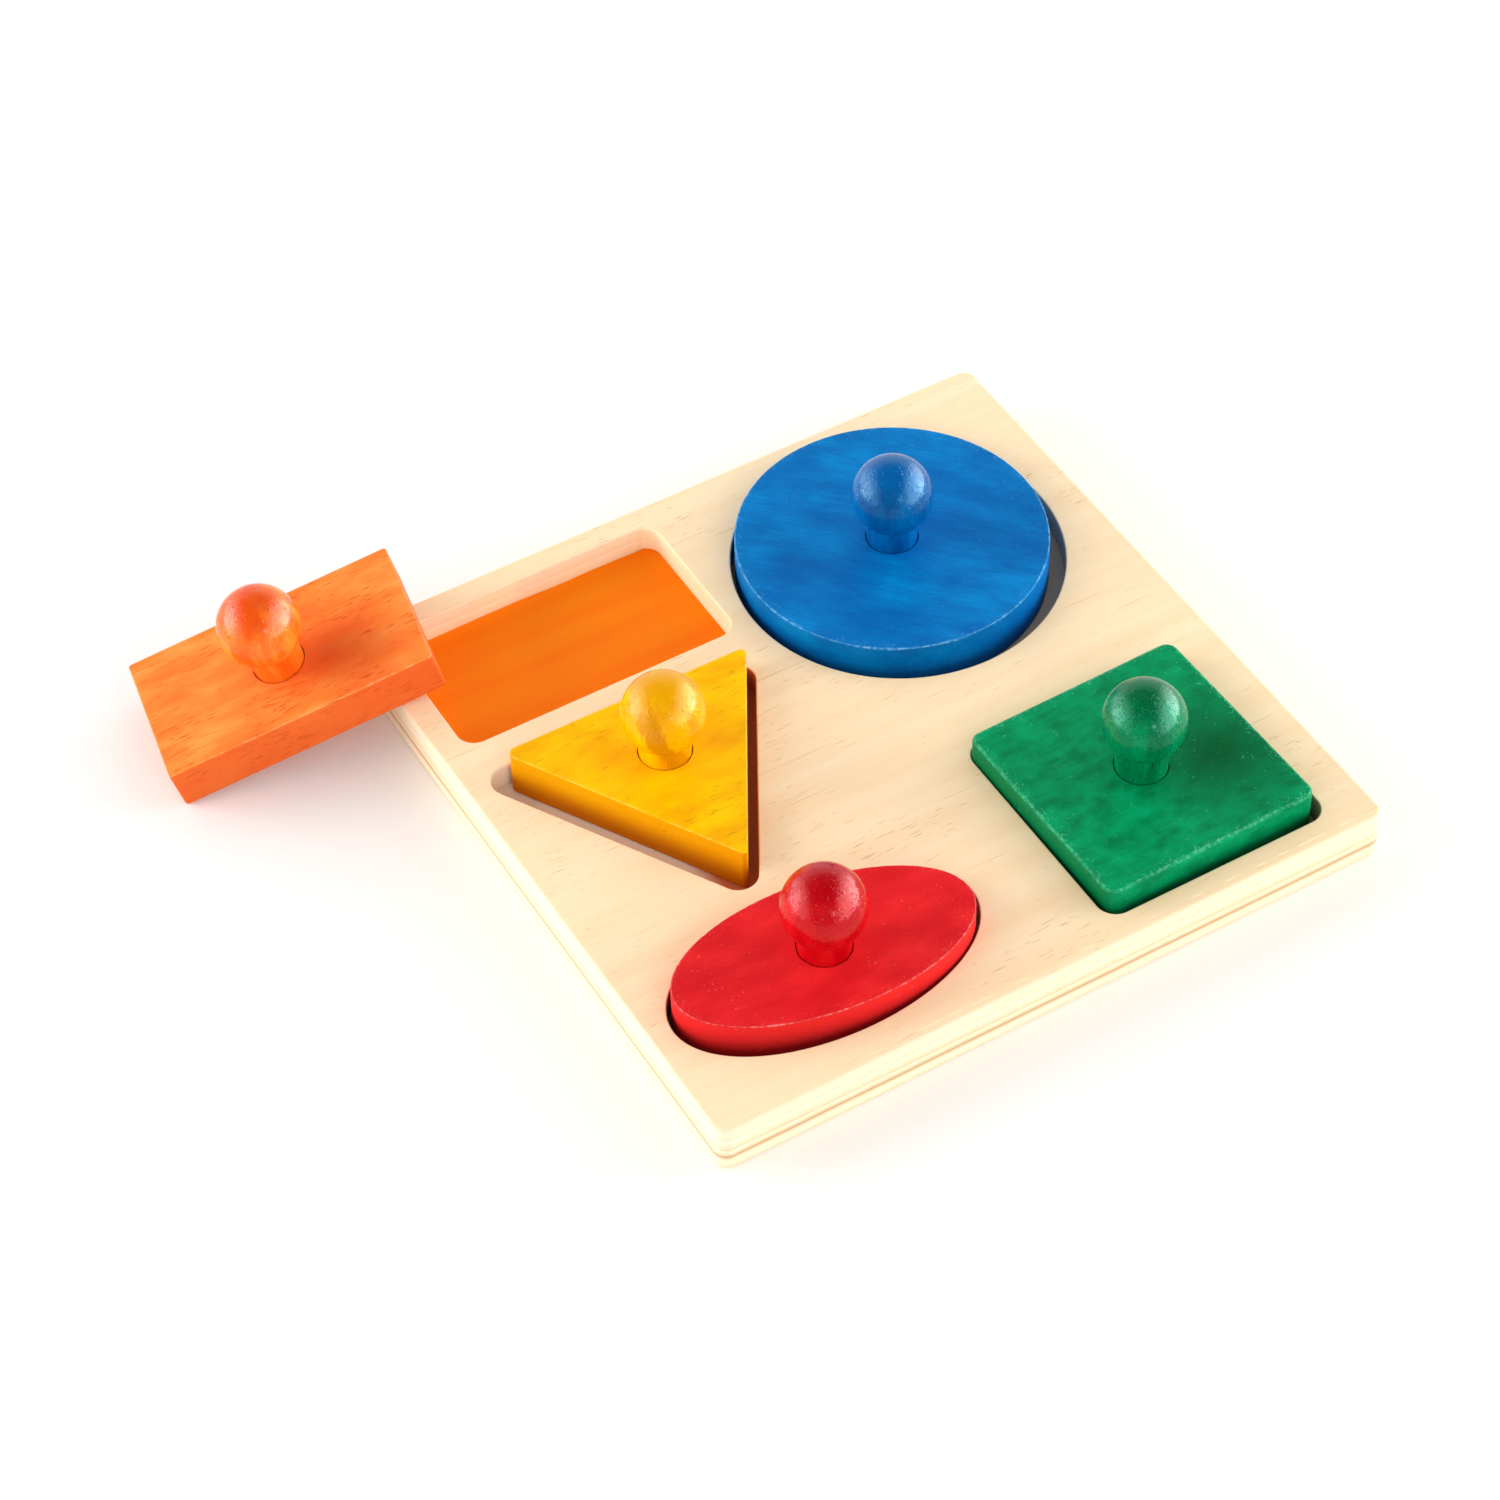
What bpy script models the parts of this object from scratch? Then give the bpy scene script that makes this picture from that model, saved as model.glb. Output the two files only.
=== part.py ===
"""Wooden shape puzzle: a plywood tray with five wells, and five blocks lifted by turned knobs.

Metres, +X to the right, +Y to the back, +Z up; the origin is the middle of the tray's underside.
Four blocks lie in their wells. The rectangle block is out of its well and leans on the tray's left edge.
"""
import math

import bmesh
import bpy

# Tray: a routed sheet glued on a plain sheet
ROUTED_SHEET = 0.009
BASE_SHEET = 0.009
GLUE_LINE = 0.0003
TRAY_CORNER = 0.0045
TRAY_EASING = 0.0012
ROUTER_RADIUS = 0.00635
WELL_EASING = 0.0006

# Wood between each well and the tray's edge
RECTANGLE_LEFT_RIM = 0.009
RECTANGLE_BACK_RIM = 0.0089
CIRCLE_RIGHT_RIM = 0.0139
CIRCLE_BACK_RIM = 0.0099
TRIANGLE_LEFT_RIM = 0.0083
OVAL_LEFT_RIM = 0.008
OVAL_FRONT_RIM = 0.012
SQUARE_RIGHT_RIM = 0.0155
SQUARE_FRONT_RIM = 0.0089

# Wood between neighbouring wells
RECTANGLE_CIRCLE_WEB = 0.0067
RECTANGLE_TRIANGLE_WEB = 0.0131
TRIANGLE_OVAL_WEB = 0.008
LEAST_WEB = 0.007

# Blocks, sawn from thicker board than the tray's sheets
BLOCK_THICKNESS = 0.0165
BLOCK_EASING = 0.001
SEAT_GAP = 0.0003
CIRCLE_DIAMETER = 0.1039
SQUARE_SIDE = 0.078
SQUARE_CORNER = 0.004
TRIANGLE_SIDE = 0.089
TRIANGLE_CORNER = 0.0026
OVAL_LENGTH = 0.0995
OVAL_WIDTH = 0.0505
RECTANGLE_LENGTH = 0.0923
RECTANGLE_WIDTH = 0.0505
RECTANGLE_CORNER = 0.0018

# Play between a block and its well, on each side
CIRCLE_PLAY = 0.0033
SQUARE_PLAY = 0.002
TRIANGLE_PLAY = 0.0043
OVAL_END_PLAY = 0.00275
OVAL_SIDE_PLAY = 0.00345
RECTANGLE_END_PLAY = 0.0037
RECTANGLE_SIDE_PLAY = 0.0033

# How each block lies in its well: shares of its play to the right and to the back, and of its free turn
CIRCLE_LIE = (-0.2, 0.97, 0.0)
SQUARE_LIE = (-0.95, 0.95, 0.37)
TRIANGLE_LIE = (0.89, 0.86, -0.05)
OVAL_LIE = (-0.5, -0.6, -0.8)

# How the loose block leans: its middle from the tray's left edge down the slope, and from the back edge
LEAN_REACH = 0.0258
LEAN_FROM_BACK = 0.0093
LEAN_TURN = -10.4

# Knobs, turned in one piece with the neck that is glued into the block
BALL_DIAMETER = 0.027
NECK_DIAMETER = 0.017
KNOB_COVE = 0.001
KNOB_FOOT_CHAMFER = 0.001
BORE_GAP = 0.0003
BORE_FLOOR = 0.006
CIRCLE_NECK = 0.0077
SQUARE_NECK = 0.0094
TRIANGLE_NECK = 0.0062
OVAL_NECK = 0.0070
RECTANGLE_NECK = 0.0085

# Facets
ROUND_STEPS = 64
CORNER_STEPS = 6
EASING_STEPS = 2
KNOB_STEPS = 28
BALL_STEPS = 12
COVE_STEPS = 2
CUT_PAST = 0.002
WELD = 0.000001

# Colours as the eye sees them, and the gloss of each finish
BIRCH = "F6DFB6"
BIRCH_CORE = "F2D7AB"
BLUE = "0079C2"
GREEN = "00955A"
YELLOW = "FBBF04"
RED = "D81F2B"
ORANGE = "FB8536"
SHEET_ROUGHNESS = 0.55
BLOCK_ROUGHNESS = 0.42
KNOB_ROUGHNESS = 0.28


def linear(colour):
    """Turns a hex colour as seen into the linear values that a shader takes."""
    channels = [int(colour[i:i + 2], 16) / 255 for i in (0, 2, 4)]
    return [c / 12.92 if c <= 0.04045 else ((c + 0.055) / 1.055) ** 2.4 for c in channels] + [1.0]


def wood(name, colour, roughness):
    """A plain material with one finish's colour and roughness."""
    material = bpy.data.materials.new(name)
    material.use_nodes = True
    shader = material.node_tree.nodes["Principled BSDF"]
    shader.inputs["Base Color"].default_value = linear(colour)
    shader.inputs["Roughness"].default_value = roughness
    shader.inputs["Metallic"].default_value = 0.0
    material.diffuse_color = linear(colour)
    return material


def circle(diameter, steps=ROUND_STEPS):
    """An outline as a function of how far it is grown outwards; here a circle."""
    def outline(grow=0.0):
        radius = diameter / 2 + grow
        turns = [2 * math.pi * i / steps for i in range(steps)]
        return [(radius * math.cos(a), radius * math.sin(a)) for a in turns]
    return outline


def oval(length, width):
    """An ellipse, grown along its own normals so that its edge stays even."""
    def outline(grow=0.0):
        points = []
        for i in range(ROUND_STEPS):
            a = 2 * math.pi * i / ROUND_STEPS
            x, y = length / 2 * math.cos(a), width / 2 * math.sin(a)
            across, along = math.cos(a) / length, math.sin(a) / width
            size = math.hypot(across, along)
            points.append((x + grow * across / size, y + grow * along / size))
        return points
    return outline


def rounded(corners, radius):
    """A convex polygon, its corners listed anticlockwise and rounded to one radius."""
    def outline(grow=0.0):
        points = []
        count = len(corners)
        for i, corner in enumerate(corners):
            before, after = corners[i - 1], corners[(i + 1) % count]
            into = math.atan2(corner[1] - before[1], corner[0] - before[0])
            out = math.atan2(after[1] - corner[1], after[0] - corner[0])
            turn = (out - into) % (2 * math.pi)
            reach = radius / math.cos(turn / 2)
            middle = into - math.pi / 2 + turn / 2
            centre = (corner[0] - reach * math.cos(middle), corner[1] - reach * math.sin(middle))
            steps = math.ceil(CORNER_STEPS * turn / (math.pi / 2))
            for step in range(steps + 1):
                a = into - math.pi / 2 + turn * step / steps
                points.append((centre[0] + (radius + grow) * math.cos(a),
                               centre[1] + (radius + grow) * math.sin(a)))
        return points
    return outline


def box_corners(length, width):
    """The corners of a rectangle centred on the origin."""
    x, y = length / 2, width / 2
    return [(-x, -y), (x, -y), (x, y), (-x, y)]


def triangle_corners(side):
    """The corners of an equal-sided triangle about its middle, with one point to the front."""
    inner = side / (2 * math.sqrt(3))
    return [(0.0, -2 * inner), (side / 2, inner), (-side / 2, inner)]


def oval_turn():
    """How far the oval can turn in its well, from the half axes a, b of the block and A, B of the well.

    Across a direction at angle u the squared half widths are bb + (aa - bb) * cos(u - turn)^2 for the block
    and BB + (AA - BB) * cos(u)^2 for the well. The turn is the one at which they first become equal.
    """
    half_length, half_width = OVAL_LENGTH / 2, OVAL_WIDTH / 2
    well_length = half_length + OVAL_END_PLAY - SEAT_GAP
    well_width = half_width + OVAL_SIDE_PLAY - SEAT_GAP
    block_spread = half_length ** 2 - half_width ** 2
    well_spread = well_length ** 2 - well_width ** 2
    room = 2 * (well_width ** 2 - half_width ** 2) + well_spread - block_spread
    spare = room ** 2 - (well_spread - block_spread) ** 2
    return math.asin(math.sqrt(spare / (4 * well_spread * block_spread)))


def place(item, location=(0.0, 0.0, 0.0), turn=0.0, parent=None):
    """Sets where an object stands and its turn in radians, on its parent if it has one."""
    item.location = location
    item.rotation_euler = (0.0, 0.0, turn)
    item.parent = parent


def keep(name, shape, material=None):
    """Turns a finished bmesh into a named object with its material."""
    bmesh.ops.recalc_face_normals(shape, faces=shape.faces)
    mesh = bpy.data.meshes.new(name)
    shape.to_mesh(mesh)
    shape.free()
    if material:
        mesh.materials.append(material)
    item = bpy.data.objects.new(name, mesh)
    bpy.context.scene.collection.objects.link(item)
    return item


def loft(name, rings, material=None):
    """A closed solid through rings of points, each given with its height; its sides are shaded smooth."""
    shape = bmesh.new()
    loops = [[shape.verts.new((x, y, height)) for x, y in points] for points, height in rings]
    count = len(loops[0])
    for low, high in zip(loops, loops[1:]):
        for i in range(count):
            j = (i + 1) % count
            side = shape.faces.new((low[i], low[j], high[j], high[i]))
            side.smooth = True
    shape.faces.new(loops[0][::-1])
    shape.faces.new(loops[-1])
    return keep(name, shape, material)


def slab_rings(outline, low, high, low_easing, high_easing):
    """Rings of a slab from low to high, with a quarter round on each edge that has an easing."""
    quarter = [math.pi / 2 * i / EASING_STEPS for i in range(EASING_STEPS + 1)]
    rings = []
    for a in quarter if low_easing else quarter[-1:]:
        rings.append((outline(-low_easing * (1 - math.sin(a))), low + low_easing * (1 - math.cos(a))))
    for a in reversed(quarter if high_easing else quarter[-1:]):
        rings.append((outline(-high_easing * (1 - math.sin(a))), high - high_easing * (1 - math.cos(a))))
    return rings


def cut(item, cutter):
    """Takes a cutter out of an object and hides the cutter."""
    cutter.hide_render = True
    cutter.display_type = "WIRE"
    boolean = item.modifiers.new(cutter.name, "BOOLEAN")
    boolean.operation = "DIFFERENCE"
    boolean.solver = "EXACT"
    boolean.object = cutter


def spin_profile(name, profile, material):
    """Turns a half outline, from the crown to the foot on the axis, into a closed round solid."""
    shape = bmesh.new()
    points = [shape.verts.new((radius, 0.0, height)) for radius, height in profile]
    edges = [shape.edges.new(pair) for pair in zip(points, points[1:])]
    bmesh.ops.spin(shape, geom=points + edges, axis=(0, 0, 1), cent=(0, 0, 0),
                   steps=KNOB_STEPS, angle=2 * math.pi, use_merge=True)
    bmesh.ops.remove_doubles(shape, verts=shape.verts, dist=WELD)
    foot = min(vertex.co.z for vertex in shape.verts)
    for face in shape.faces:
        face.smooth = min(vertex.co.z for vertex in face.verts) > foot
    return keep(name, shape, material)


# Heights that every piece shares
base_top = BASE_SHEET
tray_top = BASE_SHEET + GLUE_LINE + ROUTED_SHEET
bore_depth = BLOCK_THICKNESS - BORE_FLOOR

# Wells, each a block's outline with its play
circle_well = CIRCLE_DIAMETER + 2 * CIRCLE_PLAY
square_well = SQUARE_SIDE + 2 * SQUARE_PLAY
triangle_well = TRIANGLE_SIDE + 2 * math.sqrt(3) * TRIANGLE_PLAY
oval_well_length = OVAL_LENGTH + 2 * OVAL_END_PLAY
oval_well_width = OVAL_WIDTH + 2 * OVAL_SIDE_PLAY
rectangle_well_length = RECTANGLE_LENGTH + 2 * RECTANGLE_END_PLAY
rectangle_well_width = RECTANGLE_WIDTH + 2 * RECTANGLE_SIDE_PLAY

# A rounded 60 degree point stands back from the sharp one by the radius, and from its side by less
triangle_well_height = triangle_well * math.sqrt(3) / 2 - ROUTER_RADIUS
triangle_well_trim = (math.sqrt(3) - 1) * ROUTER_RADIUS
triangle_well_width = triangle_well - 2 * triangle_well_trim

# The tray is as wide and as deep as its fullest row and column of wells
back_row = RECTANGLE_LEFT_RIM + rectangle_well_length + RECTANGLE_CIRCLE_WEB + circle_well + CIRCLE_RIGHT_RIM
middle_row = TRIANGLE_LEFT_RIM + triangle_well_width + LEAST_WEB + circle_well + CIRCLE_RIGHT_RIM
front_row = OVAL_LEFT_RIM + oval_well_length + LEAST_WEB + square_well + SQUARE_RIGHT_RIM
tray_width = max(back_row, middle_row, front_row)
left_column = (RECTANGLE_BACK_RIM + rectangle_well_width + RECTANGLE_TRIANGLE_WEB + triangle_well_height
               + TRIANGLE_OVAL_WEB + oval_well_width + OVAL_FRONT_RIM)
right_column = CIRCLE_BACK_RIM + circle_well + LEAST_WEB + square_well + SQUARE_FRONT_RIM
tray_depth = max(left_column, right_column)
left, right, front, back = -tray_width / 2, tray_width / 2, -tray_depth / 2, tray_depth / 2

# Middles of the wells
rectangle_middle = (left + RECTANGLE_LEFT_RIM + rectangle_well_length / 2,
                    back - RECTANGLE_BACK_RIM - rectangle_well_width / 2)
circle_middle = (right - CIRCLE_RIGHT_RIM - circle_well / 2, back - CIRCLE_BACK_RIM - circle_well / 2)
triangle_middle = (left + TRIANGLE_LEFT_RIM - triangle_well_trim + triangle_well / 2,
                   back - RECTANGLE_BACK_RIM - rectangle_well_width - RECTANGLE_TRIANGLE_WEB
                   - triangle_well / (2 * math.sqrt(3)))
oval_middle = (left + OVAL_LEFT_RIM + oval_well_length / 2, front + OVAL_FRONT_RIM + oval_well_width / 2)
square_middle = (right - SQUARE_RIGHT_RIM - square_well / 2, front + SQUARE_FRONT_RIM + square_well / 2)

WELLS = {
    "circle": (circle(circle_well), circle_middle),
    "square": (rounded(box_corners(square_well, square_well), ROUTER_RADIUS), square_middle),
    "triangle": (rounded(triangle_corners(triangle_well), ROUTER_RADIUS), triangle_middle),
    "oval": (oval(oval_well_length, oval_well_width), oval_middle),
    "rectangle": (rounded(box_corners(rectangle_well_length, rectangle_well_width), ROUTER_RADIUS),
                  rectangle_middle),
}

# Blocks: outline, length of neck that shows, colour
BLOCKS = {
    "circle": (circle(CIRCLE_DIAMETER), CIRCLE_NECK, BLUE),
    "square": (rounded(box_corners(SQUARE_SIDE, SQUARE_SIDE), SQUARE_CORNER), SQUARE_NECK, GREEN),
    "triangle": (rounded(triangle_corners(TRIANGLE_SIDE), TRIANGLE_CORNER), TRIANGLE_NECK, YELLOW),
    "oval": (oval(OVAL_LENGTH, OVAL_WIDTH), OVAL_NECK, RED),
    "rectangle": (rounded(box_corners(RECTANGLE_LENGTH, RECTANGLE_WIDTH), RECTANGLE_CORNER),
                  RECTANGLE_NECK, ORANGE),
}

# Blocks at home: how each lies, its play to the sides and to the ends, and the turn that its well leaves it
HOMES = {
    "circle": (CIRCLE_LIE, CIRCLE_PLAY, CIRCLE_PLAY, math.pi),
    "square": (SQUARE_LIE, SQUARE_PLAY, SQUARE_PLAY, 2 * SQUARE_PLAY / SQUARE_SIDE),
    "triangle": (TRIANGLE_LIE, TRIANGLE_PLAY, TRIANGLE_PLAY, 2 * TRIANGLE_PLAY / TRIANGLE_SIDE),
    "oval": (OVAL_LIE, OVAL_END_PLAY, OVAL_SIDE_PLAY, oval_turn()),
}


def base_board():
    """The plain sheet under the tray: it closes the wells and carries the blocks."""
    tray = rounded(box_corners(tray_width, tray_depth), TRAY_CORNER)
    rings = slab_rings(tray, 0.0, base_top, TRAY_EASING, 0.0)
    return loft("base_board", rings, wood("base_birch", BIRCH_CORE, SHEET_ROUGHNESS))


def frame_board():
    """The top sheet, with five wells routed through it and their upper edges sanded."""
    tray = rounded(box_corners(tray_width, tray_depth), TRAY_CORNER)
    rings = slab_rings(tray, base_top + GLUE_LINE, tray_top, 0.0, TRAY_EASING)
    board = loft("frame_board", rings, wood("frame_birch", BIRCH, SHEET_ROUGHNESS))
    for name, (outline, middle) in WELLS.items():
        cutter = loft(name + "_well_cutter", [
            (outline(), base_top - CUT_PAST),
            (outline(), tray_top - WELL_EASING),
            (outline(WELL_EASING), tray_top),
            (outline(WELL_EASING), tray_top + CUT_PAST),
        ])
        place(cutter, (middle[0], middle[1], 0.0))
        cut(board, cutter)
    return board


def block(name):
    """A block standing on its own origin, with a blind bore for its knob."""
    outline, _, colour = BLOCKS[name]
    rings = slab_rings(outline, 0.0, BLOCK_THICKNESS, BLOCK_EASING, BLOCK_EASING)
    item = loft(name + "_block", rings, wood(name + "_paint", colour, BLOCK_ROUGHNESS))
    bore = circle(NECK_DIAMETER + 2 * BORE_GAP, KNOB_STEPS)
    cutter = loft(name + "_bore_cutter", [(bore(), BORE_FLOOR), (bore(), BLOCK_THICKNESS + CUT_PAST)])
    place(cutter, parent=item)
    cut(item, cutter)
    return item


def knob_profile(neck_shown):
    """Half outline of a knob from crown to foot, its heights measured from the block's top face.

    A cove joins the ball to the neck: its centre lies a ball and a cove radius from the ball's centre,
    and a neck and a cove radius from the axis. The ball's arc ends where it meets the cove.
    """
    ball, neck = BALL_DIAMETER / 2, NECK_DIAMETER / 2
    drop = math.sqrt((ball + KNOB_COVE) ** 2 - (neck + KNOB_COVE) ** 2)
    under = math.atan2(neck + KNOB_COVE, drop)
    ball_height = neck_shown + drop
    foot = BORE_GAP - bore_depth
    profile = []
    for i in range(BALL_STEPS + 1):
        a = (math.pi - under) * i / BALL_STEPS
        profile.append((ball * math.sin(a), ball_height + ball * math.cos(a)))
    for i in range(1, COVE_STEPS + 1):
        a = (math.pi / 2 - under) * i / COVE_STEPS
        profile.append((neck + KNOB_COVE - KNOB_COVE * math.sin(under + a),
                        neck_shown + KNOB_COVE * math.cos(under + a)))
    profile.append((neck, foot + KNOB_FOOT_CHAMFER))
    profile.append((neck - KNOB_FOOT_CHAMFER, foot))
    profile.append((0.0, foot))
    return profile


def knob(name, carrier):
    """A turned knob with its neck in its block's bore."""
    _, neck_shown, colour = BLOCKS[name]
    lacquer = wood(name + "_lacquer", colour, KNOB_ROUGHNESS)
    item = spin_profile(name + "_knob", knob_profile(neck_shown), lacquer)
    place(item, (0.0, 0.0, BLOCK_THICKNESS), parent=carrier)
    return item


def block_at_home(name):
    """Lays a block in its well, pushed and turned within its play as it lies in use."""
    (share_x, share_y, share_turn), play_x, play_y, free_turn = HOMES[name]
    middle = WELLS[name][1]
    left_over = 1 - abs(share_turn)
    item = block(name)
    place(item, (middle[0] + share_x * (play_x - SEAT_GAP) * left_over,
                 middle[1] + share_y * (play_y - SEAT_GAP) * left_over,
                 base_top + SEAT_GAP), share_turn * free_turn)
    return item


def leaning_block():
    """Leans the rectangle block on the tray's left edge with its lowest corner on the table.

    The slope starts at the tray's rounded edge and rises to the right. With the slope's angle t, the lowest
    point's height above the table is low * sin(t) + thick * cos(t) - under, and it is 0 at the angle found.
    """
    turn = math.radians(LEAN_TURN)
    half_length = RECTANGLE_LENGTH / 2 - RECTANGLE_CORNER
    half_width = RECTANGLE_WIDTH / 2 - RECTANGLE_CORNER
    down = half_length * abs(math.cos(turn)) + half_width * abs(math.sin(turn))
    low = -(LEAN_REACH + down + RECTANGLE_CORNER - BLOCK_EASING)
    thick = TRAY_EASING + SEAT_GAP + BLOCK_EASING
    under = BLOCK_EASING - (tray_top - TRAY_EASING)
    slope = math.atan2(low, thick) + math.acos(under / math.hypot(low, thick))
    rest = TRAY_EASING + SEAT_GAP
    lean = bpy.data.objects.new("lean", None)
    bpy.context.scene.collection.objects.link(lean)
    lean.location = (left + TRAY_EASING - rest * math.sin(slope), back - LEAN_FROM_BACK,
                     tray_top - TRAY_EASING + rest * math.cos(slope))
    lean.rotation_euler = (0.0, -slope, 0.0)
    item = block("rectangle")
    place(item, (-LEAN_REACH, 0.0, 0.0), turn, lean)
    return item


def build():
    """Makes the whole puzzle."""
    for item in list(bpy.data.objects):
        bpy.data.objects.remove(item)
    base_board()
    frame_board()
    for name in HOMES:
        knob(name, block_at_home(name))
    knob("rectangle", leaning_block())
    bpy.context.view_layer.update()


build()
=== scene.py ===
import bpy
import numpy as np
from mathutils import Matrix, Vector
from mathutils.geometry import tessellate_polygon


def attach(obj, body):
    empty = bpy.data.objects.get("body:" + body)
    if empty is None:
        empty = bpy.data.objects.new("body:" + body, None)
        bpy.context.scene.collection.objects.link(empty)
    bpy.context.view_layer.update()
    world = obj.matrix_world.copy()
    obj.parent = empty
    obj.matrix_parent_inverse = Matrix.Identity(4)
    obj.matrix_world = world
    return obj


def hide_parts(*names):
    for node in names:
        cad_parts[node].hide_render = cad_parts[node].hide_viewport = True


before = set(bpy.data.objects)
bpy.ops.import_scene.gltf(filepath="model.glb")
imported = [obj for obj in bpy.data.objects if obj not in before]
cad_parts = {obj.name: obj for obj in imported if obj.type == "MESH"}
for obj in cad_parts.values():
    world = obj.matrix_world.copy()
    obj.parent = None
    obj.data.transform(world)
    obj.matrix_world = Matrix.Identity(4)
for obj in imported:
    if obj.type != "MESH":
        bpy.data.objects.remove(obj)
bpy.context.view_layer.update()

# The tray's boards
# Two sheets of 9 mm birch plywood, glued face to face and then shaped together on a router, which rounds
# the four corners and eases every edge. The lower one is whole, and its face shows only in the wells. The
# upper one has the five wells routed through it. Lengths are in metres, from the middle of the underside.

TRAY_LENGTH, TRAY_WIDTH, TRAY_TOP = 0.2398, 0.240126, 0.0183
TRAY_CORNER, TRAY_EASING = 0.0045, 0.0012
BASE_TOP, GLUE_LINE, GLUED_EASING = 0.009, 0.00005, 0.0002
ROUTER_RADIUS, WELL_EASING, WELL_FOOT_EASING = 0.00635, 0.0006, 0.0001
FACE_BAND = 0.003

# The wells: length and width, or the triangle's side, and where the middle is.
RECTANGLE_WELL, CIRCLE_WELL, TRIANGLE_WELL = (0.0997, 0.0571), (0.1105, 0.1105), 0.103895
OVAL_WELL, SQUARE_WELL = (0.105, 0.0574), (0.082, 0.082)
RECTANGLE_MIDDLE, CIRCLE_MIDDLE, TRIANGLE_MIDDLE = (-0.06105, 0.08261), (0.05075, 0.05491), (-0.0643, 0.01097)
OVAL_MIDDLE, SQUARE_MIDDLE = (-0.0594, -0.07936), (0.0634, -0.07016)

# The steps of the mesh: along an arc, in radians, and along a straight run.
ROUTED_ARC, ROUTED_RUN = np.pi / 36, 0.004
SLAB_ARC, SLAB_RUN = np.pi / 12, 0.0006


def rounded_path(corners, radii, arc_step, run_step, closed=True):
    """Points and right-hand unit normals of a path of straight runs whose corners are rounded to arcs.

    At a corner that turns by t the arc of radius r begins r * tan(t / 2) before it, its centre lies on the
    inner side at r from there, and its points are centre + r * normal. arc_step is in radians.
    """
    corners = np.asarray(corners, float)
    count = len(corners)
    points, normals, ends = [], [], []
    for i in range(count) if closed else range(1, count - 1):
        corner = corners[i]
        into, out = corner - corners[i - 1], corners[(i + 1) % count] - corner
        into, out = into / np.linalg.norm(into), out / np.linalg.norm(out)
        turn = np.arctan2(into[0] * out[1] - into[1] * out[0], into @ out)
        side, radius = np.sign(turn), radii[i]
        right = np.array([into[1], -into[0]])
        start = corner - into * radius * np.tan(abs(turn) / 2)
        a = np.linspace(0.0, turn, max(2, int(np.ceil(abs(turn) / arc_step)) + 1))
        facing = np.stack([np.cos(a) * right[0] - np.sin(a) * right[1],
                           np.sin(a) * right[0] + np.cos(a) * right[1]], axis=1)
        ends.append((start - right * radius * side + facing * radius * side, facing))
    runs = list(zip(ends, ends[1:] + ends[:1])) if closed else list(zip(ends, ends[1:]))
    if not closed:
        first, last = ends[0], ends[-1]
        ends = [(corners[:1], first[1][:1])] + ends + [(corners[-1:], last[1][-1:])]
        runs = list(zip(ends, ends[1:]))
    for (arc, facing), (after, _) in runs:
        gap = after[0] - arc[-1]
        steps = int(np.linalg.norm(gap) / run_step)
        t = np.arange(1, steps + 1)[:, None] / (steps + 1)
        points += [arc, arc[-1] + gap * t]
        normals += [facing, np.repeat(facing[-1:], steps, axis=0)]
    if not closed:
        points.append(corners[-1:])
        normals.append(ends[-1][1])
    points, normals = np.concatenate(points), np.concatenate(normals)
    apart = np.linalg.norm(points - np.roll(points, 1, axis=0), axis=1) > 1e-7
    if not closed:
        apart[0] = True
    return points[apart], normals[apart]


def carried(outline, profile):
    """Rings of a profile carried round an outline, as an array (ring, point, xyz), with their normals.

    A profile point (out, height) lands on outline + out * normal at that height, and its own normal leans
    the same way between the outline's normal and straight up.
    """
    (path, facing), (section, lean) = outline, profile
    flat = path[None] + facing[None] * section[:, None, :1]
    rings = np.concatenate([flat, np.broadcast_to(section[:, None, 1:], flat[..., :1].shape)], axis=2)
    sideways = facing[None] * lean[:, None, :1]
    normals = np.concatenate([sideways, np.broadcast_to(lean[:, None, 1:], flat[..., :1].shape)], axis=2)
    return rings, normals


def woven(rings, points):
    """Quads between neighbouring rings of a closed grid, as indices of its points ring by ring."""
    ring, point = np.meshgrid(np.arange(rings - 1), np.arange(points), indexing="ij")
    here, beside = ring * points + point, ring * points + (point + 1) % points
    return np.stack([here, beside, beside + points, here + points], axis=-1).reshape(-1, 4)


def solid(name, body, slot, place, verts, quads, triangles, normals, **attributes):
    """A smooth mesh piece from whole arrays, with its own normals and point attributes, riding on a body.

    Its points are turned and moved to their place on the tray, place * point, and its object isn't.
    """
    turn = np.array(place.to_3x3())
    verts = verts @ turn.T + np.array(place.translation)
    mesh = bpy.data.meshes.new(name)
    loops = np.concatenate([quads.ravel(), triangles.ravel()]).astype(np.int32)
    starts = np.concatenate([np.arange(len(quads)) * 4, len(quads) * 4 + np.arange(len(triangles)) * 3])
    mesh.vertices.add(len(verts))
    mesh.vertices.foreach_set("co", verts.astype(np.float32).ravel())
    mesh.loops.add(len(loops))
    mesh.loops.foreach_set("vertex_index", loops)
    mesh.polygons.add(len(starts))
    mesh.polygons.foreach_set("loop_start", starts.astype(np.int32))
    for label, values in attributes.items():
        kind, field = ("FLOAT", "value") if values.ndim == 1 else ("FLOAT_VECTOR", "vector")
        mesh.attributes.new(label, kind, "POINT").data.foreach_set(field, values.astype(np.float32).ravel())
    mesh.update(calc_edges=True)
    mesh.shade_smooth()
    mesh.normals_split_custom_set_from_vertices(normals @ turn.T)
    item = bpy.data.objects.new(name, mesh)
    bpy.context.scene.collection.objects.link(item)
    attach(item, body)
    return item


def slab(low, high, low_easing, high_easing):
    """A board's edge in section, from a band of its underside round the edge to a band of its top face."""
    corners = [(-FACE_BAND, low), (0.0, low), (0.0, high), (-FACE_BAND, high)]
    return rounded_path(corners, [0.0, low_easing, high_easing, 0.0], SLAB_ARC, SLAB_RUN, closed=False)


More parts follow.
